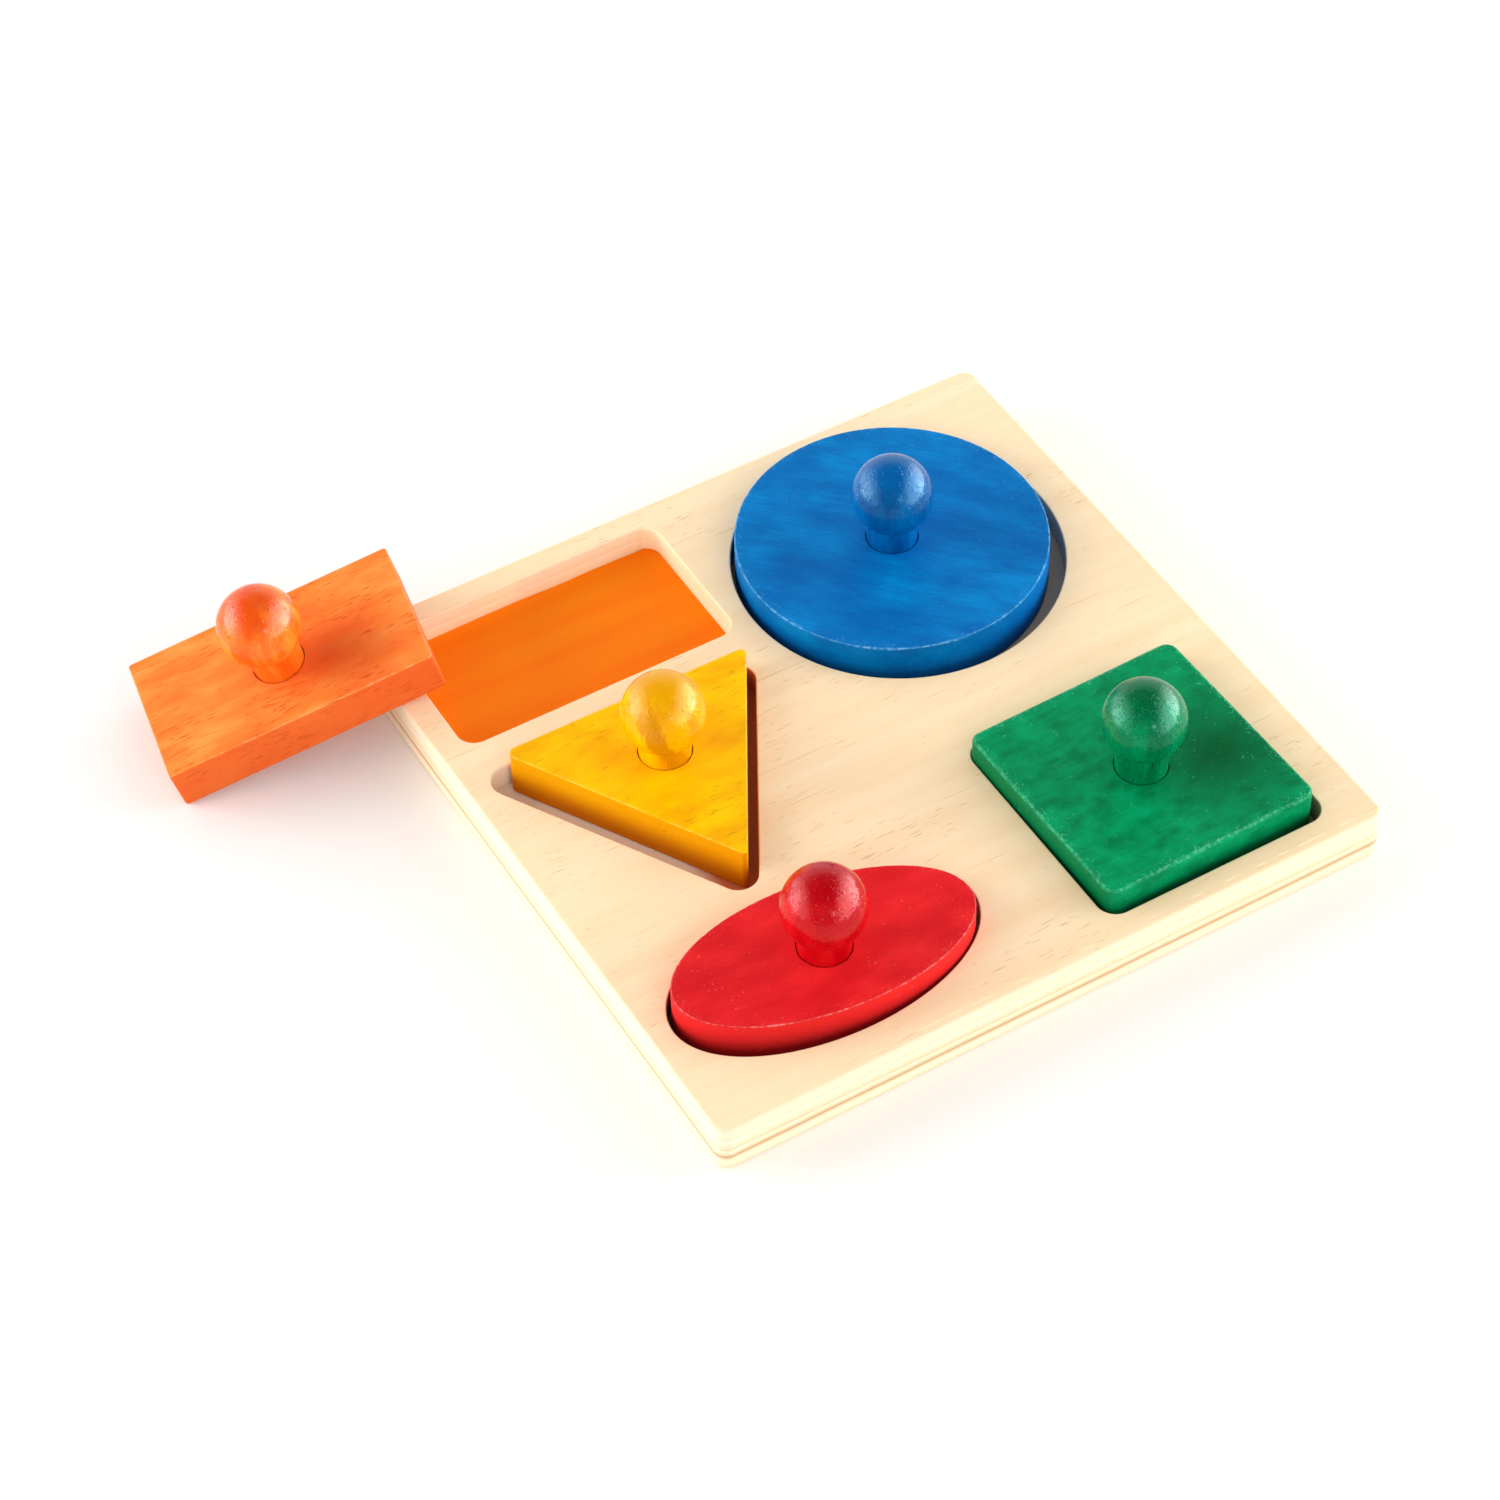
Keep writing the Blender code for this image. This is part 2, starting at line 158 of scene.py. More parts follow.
def board(name, slot, edges):
    """A flat board: its edge carried round the outside and round each well, and its two faces filled flat.

    Edges are pairs of an outline and the section carried round it, the outside first. A well's outline runs
    clockwise, so that its normals point into the hole, as the outside's point away.
    """
    verts, normals, quads, unders, tops = [], [], [], [], []
    count = 0
    for outline, section in edges:
        rings, facing = carried(outline, section)
        quads.append(woven(*rings.shape[:2]) + count)
        under = count + np.arange(rings.shape[1])
        unders.append(under)
        tops.append(under + rings.shape[1] * (rings.shape[0] - 1))
        verts.append(rings.reshape(-1, 3))
        normals.append(facing.reshape(-1, 3))
        count += len(verts[-1])
    verts, normals = np.concatenate(verts), np.concatenate(normals)
    triangles = []
    for loops, up in ((unders, -1.0), (tops, 1.0)):
        found = np.array(tessellate_polygon([verts[loop].tolist() for loop in loops]))
        faces = np.concatenate(loops)[found]
        a, b, c = (verts[faces[:, k], :2] for k in range(3))
        area = (b[:, 0] - a[:, 0]) * (c[:, 1] - a[:, 1]) - (b[:, 1] - a[:, 1]) * (c[:, 0] - a[:, 0])
        triangles.append(np.where((area * up > 0)[:, None], faces, faces[:, ::-1]))
    quads, triangles = np.concatenate(quads), np.concatenate(triangles)
    return solid(name, "tray", slot, Matrix(), verts, quads, triangles, normals)


def rectangle_corners(length, width, middle=(0.0, 0.0)):
    """The corners of a rectangle, anticlockwise."""
    return np.array(middle) + np.array([(-1, -1), (1, -1), (1, 1), (-1, 1)]) * (length / 2, width / 2)


def triangle_corners(side, middle=(0.0, 0.0)):
    """The corners of an equal-sided triangle with one point to the front, anticlockwise."""
    inner = side / (2 * np.sqrt(3))
    return np.array(middle) + np.array([(0.0, -2 * inner), (side / 2, inner), (-side / 2, inner)])


def oval_outline(length, width, middle=(0.0, 0.0), count=288):
    """An ellipse and its normals: (l/2 cos a, w/2 sin a), with the normal along (cos a / l, sin a / w)."""
    a = np.arange(count) * 2 * np.pi / count
    points = np.array(middle) + np.stack([length / 2 * np.cos(a), width / 2 * np.sin(a)], axis=1)
    normals = np.stack([np.cos(a) / length, np.sin(a) / width], axis=1)
    return points, normals / np.linalg.norm(normals, axis=1, keepdims=True)


def turned_in(outline):
    """An outline run the other way round, with its normals turned to the inside, as a well needs."""
    return outline[0][::-1], -outline[1][::-1]


def routed(corners, radius):
    """The outline that a router leaves, with this radius at every corner."""
    return rounded_path(corners, [radius] * len(corners), ROUTED_ARC, ROUTED_RUN)


tray_outline = routed(rectangle_corners(TRAY_LENGTH, TRAY_WIDTH), TRAY_CORNER)
wells = [
    routed(rectangle_corners(*RECTANGLE_WELL, RECTANGLE_MIDDLE), ROUTER_RADIUS),
    oval_outline(*CIRCLE_WELL, CIRCLE_MIDDLE),
    routed(triangle_corners(TRIANGLE_WELL, TRIANGLE_MIDDLE), ROUTER_RADIUS),
    oval_outline(*OVAL_WELL, OVAL_MIDDLE),
    routed(rectangle_corners(*SQUARE_WELL, SQUARE_MIDDLE), ROUTER_RADIUS),
]
base_board = board("base_board_birch", "base_birch",
                   [(tray_outline, slab(0.0, BASE_TOP, TRAY_EASING, GLUED_EASING))])
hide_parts("base_board")
well_edge = slab(BASE_TOP + GLUE_LINE, TRAY_TOP, WELL_FOOT_EASING, WELL_EASING)
frame_board = board("frame_board_birch", "frame_birch",
                    [(tray_outline, slab(BASE_TOP + GLUE_LINE, TRAY_TOP, GLUED_EASING, TRAY_EASING))]
                    + [(turned_in(well), well_edge) for well in wells])
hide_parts("frame_board")


def linear(colour):
    """Turns an sRGB hex colour into the linear values that a shader takes."""
    channels = [int(colour[i:i + 2], 16) / 255 for i in (0, 2, 4)]
    return [c / 12.92 if c <= 0.04045 else ((c + 0.055) / 1.055) ** 2.4 for c in channels] + [1.0]


def add(tree, kind, inputs=None, **settings):
    """Adds a node; its settings are set on it, and each input is linked or given its value."""
    made = tree.nodes.new("ShaderNode" + kind)
    for key, value in settings.items():
        setattr(made, key, value)
    for key, value in (inputs or {}).items():
        if isinstance(value, bpy.types.NodeSocket):
            tree.links.new(value, made.inputs[key])
        else:
            made.inputs[key].default_value = value
    return made


def finish_of(name):
    """A new material with its node tree and its one surface shader."""
    material = bpy.data.materials.new(name)
    material.use_nodes = True
    return material, material.node_tree, material.node_tree.nodes["Principled BSDF"]


def grain(tree, place, length, width, detail=3.0, seed=0.0):
    """Noise drawn out along the board: streaks about this long, and this wide and deep, in metres."""
    drawn = add(tree, "Mapping", {"Vector": place, "Location": (seed, seed, seed),
                                  "Scale": (1 / length, 1 / width, 1 / width)}).outputs[0]
    return add(tree, "TexNoise", {"Vector": drawn, "Scale": 1.0, "Detail": detail}).outputs["Fac"]


def wandering(tree, place, scale, shift):
    """A place led astray by soft noise, by up to half of this shift, so that grain isn't ruled straight."""
    noise = add(tree, "TexNoise", {"Vector": place, "Scale": scale, "Detail": 1.0}).outputs["Color"]
    noise = add(tree, "VectorMath", {0: noise, 1: shift}, operation="MULTIPLY").outputs[0]
    return add(tree, "VectorMath", {0: place, 1: noise}).outputs[0]


def laid(tree, tone, layers):
    """Lays colours over a tone one after another, each where its own mask says so."""
    for colour, mask in layers:
        colour = linear(colour) if isinstance(colour, str) else colour
        tone = add(tree, "Mix", {0: mask, 6: tone, 7: colour}, data_type="RGBA").outputs[2]
    return tone


def within(tree, place, middle, length, width, soft):
    """A mask of the places whose plan lies inside a rectangle, full from this far in."""
    apart = add(tree, "VectorMath", {0: place, 1: (*middle, 0.0)}, operation="SUBTRACT").outputs[0]
    apart = add(tree, "VectorMath", {0: apart}, operation="ABSOLUTE").outputs[0]
    half = (length / 2, width / 2, 1.0)
    apart = add(tree, "VectorMath", {0: apart, 1: half}, operation="SUBTRACT").outputs[0]
    apart = add(tree, "SeparateXYZ", {0: apart}).outputs
    out = add(tree, "Math", {0: apart["X"], 1: apart["Y"]}, operation="MAXIMUM").outputs[0]
    return add(tree, "MapRange", {"Value": out, "From Min": 0.0, "From Max": -soft}).outputs[0]


# The colours of the plies on the edge, each from its height in millimetres. The brown line at 6 mm is a
# glue line, and the fainter ones at 9.3 and 14 mm are the joint of the two sheets and the next glue line.
PLIES = [(0.0, "FBEBCB"), (1.5, "FAE6C2"), (2.3, "FBEBC9"), (3.3, "FDF2D6"), (4.5, "FBE9C8"),
         (5.1, "F2D8B6"), (5.6, "DCB890"), (5.95, "CBA47C"), (6.3, "DFBC95"), (6.9, "F0D6B2"),
         (7.6, "FBE9C6"), (8.4, "FDF1D3"), (9.05, "F5DEBA"), (9.3, "E3C29C"), (9.55, "F6E1BD"),
         (10.6, "F9E5C2"), (11.9, "FBECCD"), (13.2, "FDF2D8"), (14.0, "F6DFBE"), (14.5, "FBEDD0"),
         (15.3, "FAE8CA"), (16.3, "FCEFD3"), (17.4, "FBE9CA")]
FACE, FACE_DEEP, PORE = "FFE7C0", "FADAAE", "C5905E"
PAINT, PAINT_THIN = "FF7606", "FF860C"

# How far in from its border a colour is full where that border looks sharp.
SHARP = 0.0003


def birch_plywood(name, sheen, well_light_and_shade, floors, patch=None):
    """Sanded birch plywood: pale faces with faint figure along the board and short brown pores, and edges
    that show the plies as stripes. Fibres and pores are drawn a few times wider than real, so that they show.

    Well light and shade lists painted shade and painted light on the wells' walls, or their floors, each as a
    rectangle in plan, how far in it is full, colour, share, and the oval in the middle of the floor that is
    left unpainted.
    A patch is a rectangle of paint on the upper face.
    """
    material, tree, shader = finish_of(name)
    place = wandering(tree, add(tree, "TexCoord").outputs["Object"], 35.0, (0.0008, 0.0016, 0.0005))

    # The figure: bands 9 mm apart, which are the growth rings cut by the peeling knife, and fibres in them.
    band = grain(tree, place, 0.12, 0.009)
    fibre = grain(tree, place, 0.03, 0.0013)
    figure = add(tree, "Mix", {0: 0.75, 2: fibre, 3: band}).outputs[0]
    figure = add(tree, "MapRange", {"Value": figure, "From Min": 0.3, "From Max": 0.7}).outputs[0]
    face = laid(tree, linear(FACE_DEEP), [(FACE, figure)])

    # The edge: each height in the colour of its ply, flecked by the cut ends of the fibres.
    height = add(tree, "SeparateXYZ", {0: place}).outputs["Z"]
    height = add(tree, "Math", {0: height, 1: 1 / TRAY_TOP}, operation="MULTIPLY").outputs[0]
    layer = add(tree, "ValToRGB", {0: height})
    ramp = layer.color_ramp
    while len(ramp.elements) < len(PLIES):
        ramp.elements.new(0.5)
    for stop, (level, colour) in zip(ramp.elements, PLIES):
        stop.position, stop.color = level / 1000 / TRAY_TOP, linear(colour)
    flecks = add(tree, "MapRange", {"Value": grain(tree, place, 0.0025, 0.0006, 2.0, 3.0), "From Min": 0.35,
                                    "From Max": 0.65, "To Min": 0.0, "To Max": 0.22}).outputs[0]
    edge = add(tree, "Mix", {0: flecks, 6: layer.outputs["Color"], 7: linear("F1D3AC")}, data_type="RGBA",
               blend_type="MULTIPLY").outputs[2]
    upright = add(tree, "SeparateXYZ", {0: add(tree, "NewGeometry").outputs["Normal"]}).outputs["Z"]
    upright = add(tree, "Math", {0: upright}, operation="ABSOLUTE").outputs[0]
    flat = add(tree, "MapRange", {"Value": upright, "From Min": 0.6, "From Max": 0.95}).outputs[0]

    # The marks on the faces: pores as dashes 6 mm long, in crowds, and a few long hairlines.
    crowd = add(tree, "MapRange", {"Value": grain(tree, place, 0.05, 0.03, 2.0, 7.0), "From Min": 0.42,
                                   "From Max": 0.62, "To Min": 0.75, "To Max": 0.645}).outputs[0]
    dash = grain(tree, place, 0.0062, 0.00055, 1.0, 1.0)
    dash = add(tree, "Math", {0: dash, 1: crowd}, operation="SUBTRACT").outputs[0]
    dash = add(tree, "MapRange", {"Value": dash, "From Min": 0.0, "From Max": 0.08,
                                  "To Max": 0.45}).outputs[0]
    hair = grain(tree, place, 0.04, 0.0009, 1.0, 5.0)
    hair = add(tree, "MapRange", {"Value": hair, "From Min": 0.72, "From Max": 0.80,
                                  "To Max": 0.35}).outputs[0]
    marks = add(tree, "Math", {0: dash, 1: hair}, operation="MAXIMUM").outputs[0]
    marks = add(tree, "Math", {0: marks, 1: flat}, operation="MULTIPLY").outputs[0]
    layers = [(face, flat), (PORE, marks)]

    walls = add(tree, "Math", {0: 1.0, 1: flat}, operation="SUBTRACT").outputs[0]
    # Painted shade and light in the wells: each entry paints shade, and one paints light, on the walls or
    # round the floor's edge.
    for middle, length, width, soft, colour, share, unpainted_middle in well_light_and_shade:
        mask = add(tree, "Math", {0: within(tree, place, middle, length, width, soft),
                                  1: flat if floors else walls}, operation="MULTIPLY").outputs[0]
        if floors:
            (x, y), long, wide = unpainted_middle
            apart = add(tree, "VectorMath", {0: place, 1: (x, y, 0.0)}, operation="SUBTRACT").outputs[0]
            apart = add(tree, "VectorMath", {0: apart, 1: (2 / long, 2 / wide, 0.0)},
                        operation="MULTIPLY").outputs[0]
            apart = add(tree, "VectorMath", {0: apart}, operation="LENGTH").outputs["Value"]
            ring = add(tree, "MapRange", {"Value": apart, "From Min": 0.6, "From Max": 1.0},
                       interpolation_type="SMOOTHSTEP").outputs[0]
            mask = add(tree, "Math", {0: mask, 1: ring}, operation="MULTIPLY").outputs[0]
        layers.append((colour, add(tree, "Math", {0: mask, 1: share}, operation="MULTIPLY").outputs[0]))
    if patch:
        coat = add(tree, "MapRange", {"Value": band, "From Min": 0.3, "From Max": 0.7}).outputs[0]
        layers.append((laid(tree, linear(PAINT), [(PAINT_THIN, coat)]), within(tree, place, *patch, SHARP)))
    tree.links.new(laid(tree, edge, layers), shader.inputs["Base Color"])

    # A thin water lacquer leaves the sanded fibres just to be felt, and gives hardly any sheen.
    bump = add(tree, "Bump", {"Height": fibre, "Distance": 0.00012, "Strength": 0.25})
    tree.links.new(bump.outputs[0], shader.inputs["Normal"])
    shader.inputs["Roughness"].default_value = 0.55
    shader.inputs["Specular IOR Level"].default_value = sheen
    return material


# Painted shade in the wells, tinted by the light that the blocks throw back: the circle's well is shaded
# grey, the square's olive and the oval's brown, and the triangle's is painted lighter on its left and shaded
# orange on its right. The rectangle's has a real painted floor.
WELL_LIGHT_AND_SHADE = [
    (CIRCLE_MIDDLE, 0.112, 0.112, SHARP, "A49E96", 0.8, (CIRCLE_MIDDLE, 0.1, 0.1)),
    (SQUARE_MIDDLE, 0.084, 0.084, SHARP, "6F7A58", 0.8, (SQUARE_MIDDLE, 0.078, 0.078)),
    (OVAL_MIDDLE, 0.107, 0.06, SHARP, "6A4A38", 0.8, (OVAL_MIDDLE, 0.094, 0.046)),
    ((-0.0875, 0.0055), 0.053, 0.095, 0.006, "FFF0DE", 0.9, (TRIANGLE_MIDDLE, 0.03, 0.03)),
    ((-0.03925, -0.00025), 0.0655, 0.0995, 0.006, "D86A2C", 0.9, (TRIANGLE_MIDDLE, 0.05, 0.05)),
]
PATCH = (RECTANGLE_MIDDLE, 0.101, 0.0585)
base_board.data.materials.append(birch_plywood("base_plywood_with_painted_patch", 0.06, WELL_LIGHT_AND_SHADE, True, PATCH))
# The frame's walls in the rectangle's well get a painted pale yellow, painted light against the orange that
# its floor throws on them.
frame_board.data.materials.append(birch_plywood("sanded_birch_plywood", 0.15,
                                                WELL_LIGHT_AND_SHADE + [(*PATCH, SHARP, "FFF6C6", 0.45, None)], False))

# The blue disc
# A disc sawn from a solid board, stained blue, its edge barely eased and worn pale by handling, a pale line
# that is in part a painted highlight. It is drilled from above for the glued neck of its knob, a turned ball,
# and sits loose in its well, over the base board.

BLOCK_THICKNESS, BORE_RADIUS, BORE_DEPTH, BORE_EASING = 0.0165, 0.0088, 0.0105, 0.0002

# The height of the blocks' undersides: 0.3 mm clear of the base board, as in the solids.
SEAT = BASE_TOP + 0.0003

# The steps of the mesh: a block's outline, section and bore, the rings on its top, and the points round a
# disc or an oval and round a knob.
OUTLINE_ARC, OUTLINE_RUN, SECTION_ARC, SECTION_RUN = np.pi / 24, 0.0015, np.pi / 16, 0.0008
BORE_ARC, BORE_RUN, TOP_RINGS, OVAL_POINTS, KNOB_POINTS = np.pi / 8, 0.003, 30, 384, 128


def capped(rings, normals, first, last):
    """Rings closed at both ends by a fan to a pole on the axis: one at the height first, which faces down,
    and one at the height last, which faces up. Gives points, quads, triangles and normals.
    """
    count, points = rings.shape[:2]
    here, pole = np.arange(points), np.full(points, count * points)
    beside, end = (here + 1) % points, (count - 1) * points
    triangles = np.concatenate([np.stack([pole, beside, here], axis=1),
                                np.stack([pole + 1, here + end, beside + end], axis=1)])
    return (np.concatenate([rings.reshape(-1, 3), [[0, 0, first], [0, 0, last]]]), woven(count, points),
            triangles, np.concatenate([normals.reshape(-1, 3), [[0, 0, -1], [0, 0, 1]]]))


def block(name, slot, body, outline, place, easing, foot_easing, grain_turn=0.0):
    """A block as rings from the middle of its underside, round its edge, over its top and down its bore.

    The flat faces' rings blend from the eased edge to a circle: (1 - t) * edge + t * radius * direction.
    Its attributes are wood, the point in a frame that runs along the grain, rim, how far a point lies in
    from the top edge or, below zero, down the side, and end, the squared cosine of normal and grain.
    """
    path = outline[0]
    thick, deep = BLOCK_THICKNESS, BLOCK_THICKNESS - BORE_DEPTH
    corners = [(-foot_easing * 1.2, 0.0), (0.0, 0.0), (0.0, thick), (-easing * 1.2, thick)]
    section = rounded_path(corners, [0.0, foot_easing, easing, 0.0], SECTION_ARC, SECTION_RUN, closed=False)
    edge, edge_normals = carried(outline, section)
    corners = [(BORE_RADIUS + 0.0004, thick), (BORE_RADIUS, thick), (BORE_RADIUS, deep), (0.0006, deep)]
    bore = rounded_path(corners, [0.0, BORE_EASING, BORE_EASING, 0.0], BORE_ARC, BORE_RUN, closed=False)
    inner = path / np.linalg.norm(path, axis=1, keepdims=True)
    hole, hole_normals = carried((inner * 0.0, inner), bore)
    t = (np.arange(1, TOP_RINGS) / TOP_RINGS)[:, None, None] ** 1.4
    top = (1 - t) * edge[-1][None] + t * hole[0][None]
    under = np.linspace(0.02, 0.98, 6)[:, None, None] * edge[0][None]
    up = np.broadcast_to([0.0, 0.0, 1.0], top.shape)
    rings = np.concatenate([under, edge, top, hole])
    facings = np.concatenate([-up[:len(under)], edge_normals, up, hole_normals])
    verts, quads, triangles, normals = capped(rings, facings, 0.0, deep)
    reach = np.hypot(verts[:, :1] - path[:, 0], verts[:, 1:2] - path[:, 1]).min(axis=1)
    rim = np.where(verts[:, 2] > thick - 1e-6, reach, verts[:, 2] - thick)
    along = np.array(Matrix.Rotation(-grain_turn, 3, "Z"))
    return solid(name, body, slot, place, verts, quads, triangles, normals, wood=verts @ along.T, rim=rim,
                 end=(normals @ along.T)[:, 0] ** 2)


def at(x, y, z, turn=0.0):
    """A place on the tray, turned about the upright."""
    return Matrix.Translation((x, y, z)) @ Matrix.Rotation(turn, 4, "Z")


BALL_RADIUS, NECK_RADIUS, KNOB_COVE, FOOT_CHAMFER, GLUE_GAP = 0.01348, 0.0085, 0.001, 0.001, 0.0003


def knob(name, slot, body, neck_shown, block_place):
    """A knob turned in one piece: a ball that runs by a small cove into a neck, whose foot is in the bore.

    Its outline is the ball's arc, then the cove's, then straight down the neck, revolved about the upright.
    """
    drop = np.sqrt((BALL_RADIUS + KNOB_COVE) ** 2 - (NECK_RADIUS + KNOB_COVE) ** 2)
    under = np.arctan2(NECK_RADIUS + KNOB_COVE, drop)
    middle, foot = neck_shown + drop, GLUE_GAP - BORE_DEPTH
    a = np.linspace(np.pi - under, 0.0, 49)[:-1]
    ball = np.stack([np.sin(a), np.cos(a)], axis=1)
    b = np.linspace(np.pi / 2, under, 7)[1:-1]
    cove = np.stack([-np.sin(b), np.cos(b)], axis=1)
    heights = np.concatenate([[foot + FOOT_CHAMFER, foot + 0.004], np.linspace(0.0, neck_shown, 6)])
    neck = np.stack([np.full(len(heights), NECK_RADIUS), heights], axis=1)
    section = np.concatenate([[(NECK_RADIUS - FOOT_CHAMFER, foot)], neck,
                              (NECK_RADIUS + KNOB_COVE, neck_shown) + cove * KNOB_COVE,
                              (0.0, middle) + ball * BALL_RADIUS])
    lean = np.concatenate([[(np.sqrt(0.5), -np.sqrt(0.5))], neck * 0.0 + (1.0, 0.0), -cove, ball])
    a = np.arange(KNOB_POINTS) * 2 * np.pi / KNOB_POINTS
    around = np.stack([np.cos(a), np.sin(a)], axis=1)
    rings, facings = carried((around * 0.0, around), (section, lean))
    verts, quads, triangles, normals = capped(rings, facings, foot, middle + BALL_RADIUS)
    place = block_place @ Matrix.Translation((0.0, 0.0, BLOCK_THICKNESS))
    return solid(name, body, slot, place, verts, quads, triangles, normals, wood=verts[:, [2, 0, 1]],
                 end=normals[:, 2] ** 2)


def grained(tree, place, long, wide, streak, deep, main, bright, seed):
    """The stain's tone in wood: clouds this long and wide, with this share of fine fibres, from deep to
    bright. Gives the colour and the fibres, which are drawn 0.7 mm wide, so that they show.
    """
    cloud = grain(tree, place, long, wide, 4.0, seed)
    fibre = grain(tree, place, 0.014, 0.0007, 3.0, seed + 1)
    lean = add(tree, "Mix", {0: streak, 2: cloud, 3: fibre}).outputs[0]
    ramp = add(tree, "ValToRGB", {0: lean})
    ramp.color_ramp.elements.new(0.5)
    for stop, (level, colour) in zip(ramp.color_ramp.elements, ((0.36, deep), (0.5, main), (0.64, bright))):
        stop.position, stop.color = level, linear(colour)
    return ramp.outputs["Color"], fibre


def stained_wood(name, seed, deep, main, bright, pore, end, pale, streak, pores, scratches, specks, edge_wear_and_highlight,
                 painted_knob_shadow, long=0.02, wide=0.009, dense=0.65, worn=0.0004, side=None, foot=None, low=0.5):
    """Solid wood under a water stain, dull to the eye: it takes the colour in clouds, and otherwise where
    the grain ends. Fibres and pores follow it. Handling has left pale specks and scratches on the faces
    and a thin broken pale line along the top edge, in part a painted highlight where the eased edge catches
    the light. The sides are painted darker towards their foot, as painted shade in the well, and a painted
    shadow of the knob lies on the top beside it.

    Deep, main and bright are the tones of the stain, in clouds long by wide with a streak share of fibres.
    Pore and end are the colours of pores and end grain, pale that of the wood laid bare, side that of the
    sides and foot that of the painted shade at their foot, where its share is low. Pores, scratches, specks
    and edge wear and highlight are shares, dense is where noise turns to pores and worn is the pale edge
    line's width. A painted knob shadow is its middle in the block's plan, its half length, its half width,
    colour and share.
    """
    material, tree, shader = finish_of(name)
    plain = add(tree, "Attribute", attribute_name="wood").outputs["Vector"]
    rim = add(tree, "Attribute", attribute_name="rim").outputs["Fac"]
    ends = add(tree, "Attribute", attribute_name="end").outputs["Fac"]
    place = wandering(tree, plain, 60.0, (0.002, 0.002, 0.002))
    tone, fibre = grained(tree, place, long, wide, streak, deep, main, bright, seed)
    layers = [(end, add(tree, "MapRange", {"Value": ends, "From Min": 0.5, "From Max": 0.9,
                                           "To Max": 0.85}).outputs[0])]
    if side:
        layers.append((side, add(tree, "MapRange", {"Value": rim, "From Min": -0.0001, "From Max": -0.0006,
                                                    "To Max": 0.8}).outputs[0]))

    # Pores: dashes 5.5 mm long, in crowds, drawn 0.6 mm wide, so that they show.
    crowd = add(tree, "MapRange", {"Value": grain(tree, place, 0.02, 0.012, 2.0, seed + 3), "From Min": 0.4,
                                   "From Max": 0.62, "To Min": dense + 0.1, "To Max": dense}).outputs[0]
    dash = add(tree, "Math", {0: grain(tree, place, 0.0055, 0.0006, 2.0, seed + 2), 1: crowd},
               operation="SUBTRACT").outputs[0]
    dash = add(tree, "MapRange", {"Value": dash, "From Min": 0.0, "From Max": 0.06,
                                  "To Max": pores}).outputs[0]
    layers.append((pore, dash))

    # Painted shade: a painted shadow of the knob on the top beside it, and the sides painted darker towards
    # their foot, where they stand in the well.
    (x, y), half_long, half_wide, knob_shadow_colour, share = painted_knob_shadow
    apart = add(tree, "VectorMath", {0: plain, 1: (x, y, BLOCK_THICKNESS)}, operation="SUBTRACT").outputs[0]
    apart = add(tree, "VectorMath", {0: apart, 1: (1 / half_long, 1 / half_wide, 30.0)},
                operation="MULTIPLY").outputs[0]
    apart = add(tree, "VectorMath", {0: apart}, operation="LENGTH").outputs["Value"]
    near = add(tree, "MapRange", {"Value": apart, "From Min": 1.0, "From Max": 0.1,
                                  "To Max": share}).outputs[0]
    down = add(tree, "MapRange", {"Value": rim, "From Min": -0.002, "From Max": -0.014, "To Max": low},
               interpolation_type="SMOOTHSTEP").outputs[0]
    layers += [(knob_shadow_colour, near), (foot or pore, down)]

    # Scratches: curly lines 6 to 7 mm long in three directions, more near the edge. Specks: 1 mm grit.
    fine = add(tree, "TexNoise", {"Vector": place, "Scale": 1100.0, "Detail": 2.0}).outputs["Fac"]
    curl = wandering(tree, plain, 260.0, (0.004, 0.004, 0.004))
    marks = 0.0
    for turn, length in ((0.6, 0.007), (-0.9, 0.006), (1.9, 0.006)):
        across = add(tree, "Mapping", {"Vector": curl, "Rotation": (0.0, 0.0, turn)}).outputs[0]
        line = grain(tree, across, length, 0.00045, 1.0, seed + 4 + turn)
        marks = add(tree, "Math", {0: marks, 1: line}, operation="MAXIMUM").outputs[0]
    edge = add(tree, "Math", {0: rim, 1: 0.0008}, operation="SUBTRACT").outputs[0]
    edge = add(tree, "Math", {0: edge}, operation="ABSOLUTE").outputs[0]
    edge = add(tree, "MapRange", {"Value": edge, "From Min": 0.0035, "From Max": 0.0005,
                                  "To Max": 0.1}).outputs[0]
    marks = add(tree, "Math", {0: marks, 1: edge}, operation="ADD").outputs[0]
    marks = add(tree, "MapRange", {"Value": marks, "From Min": 0.75, "From Max": 0.85,
                                   "To Max": scratches}).outputs[0]
    grit = add(tree, "MapRange", {"Value": fine, "From Min": 0.70, "From Max": 0.78,
                                  "To Max": specks}).outputs[0]
    layers += [(pale, marks), (pale, grit)]

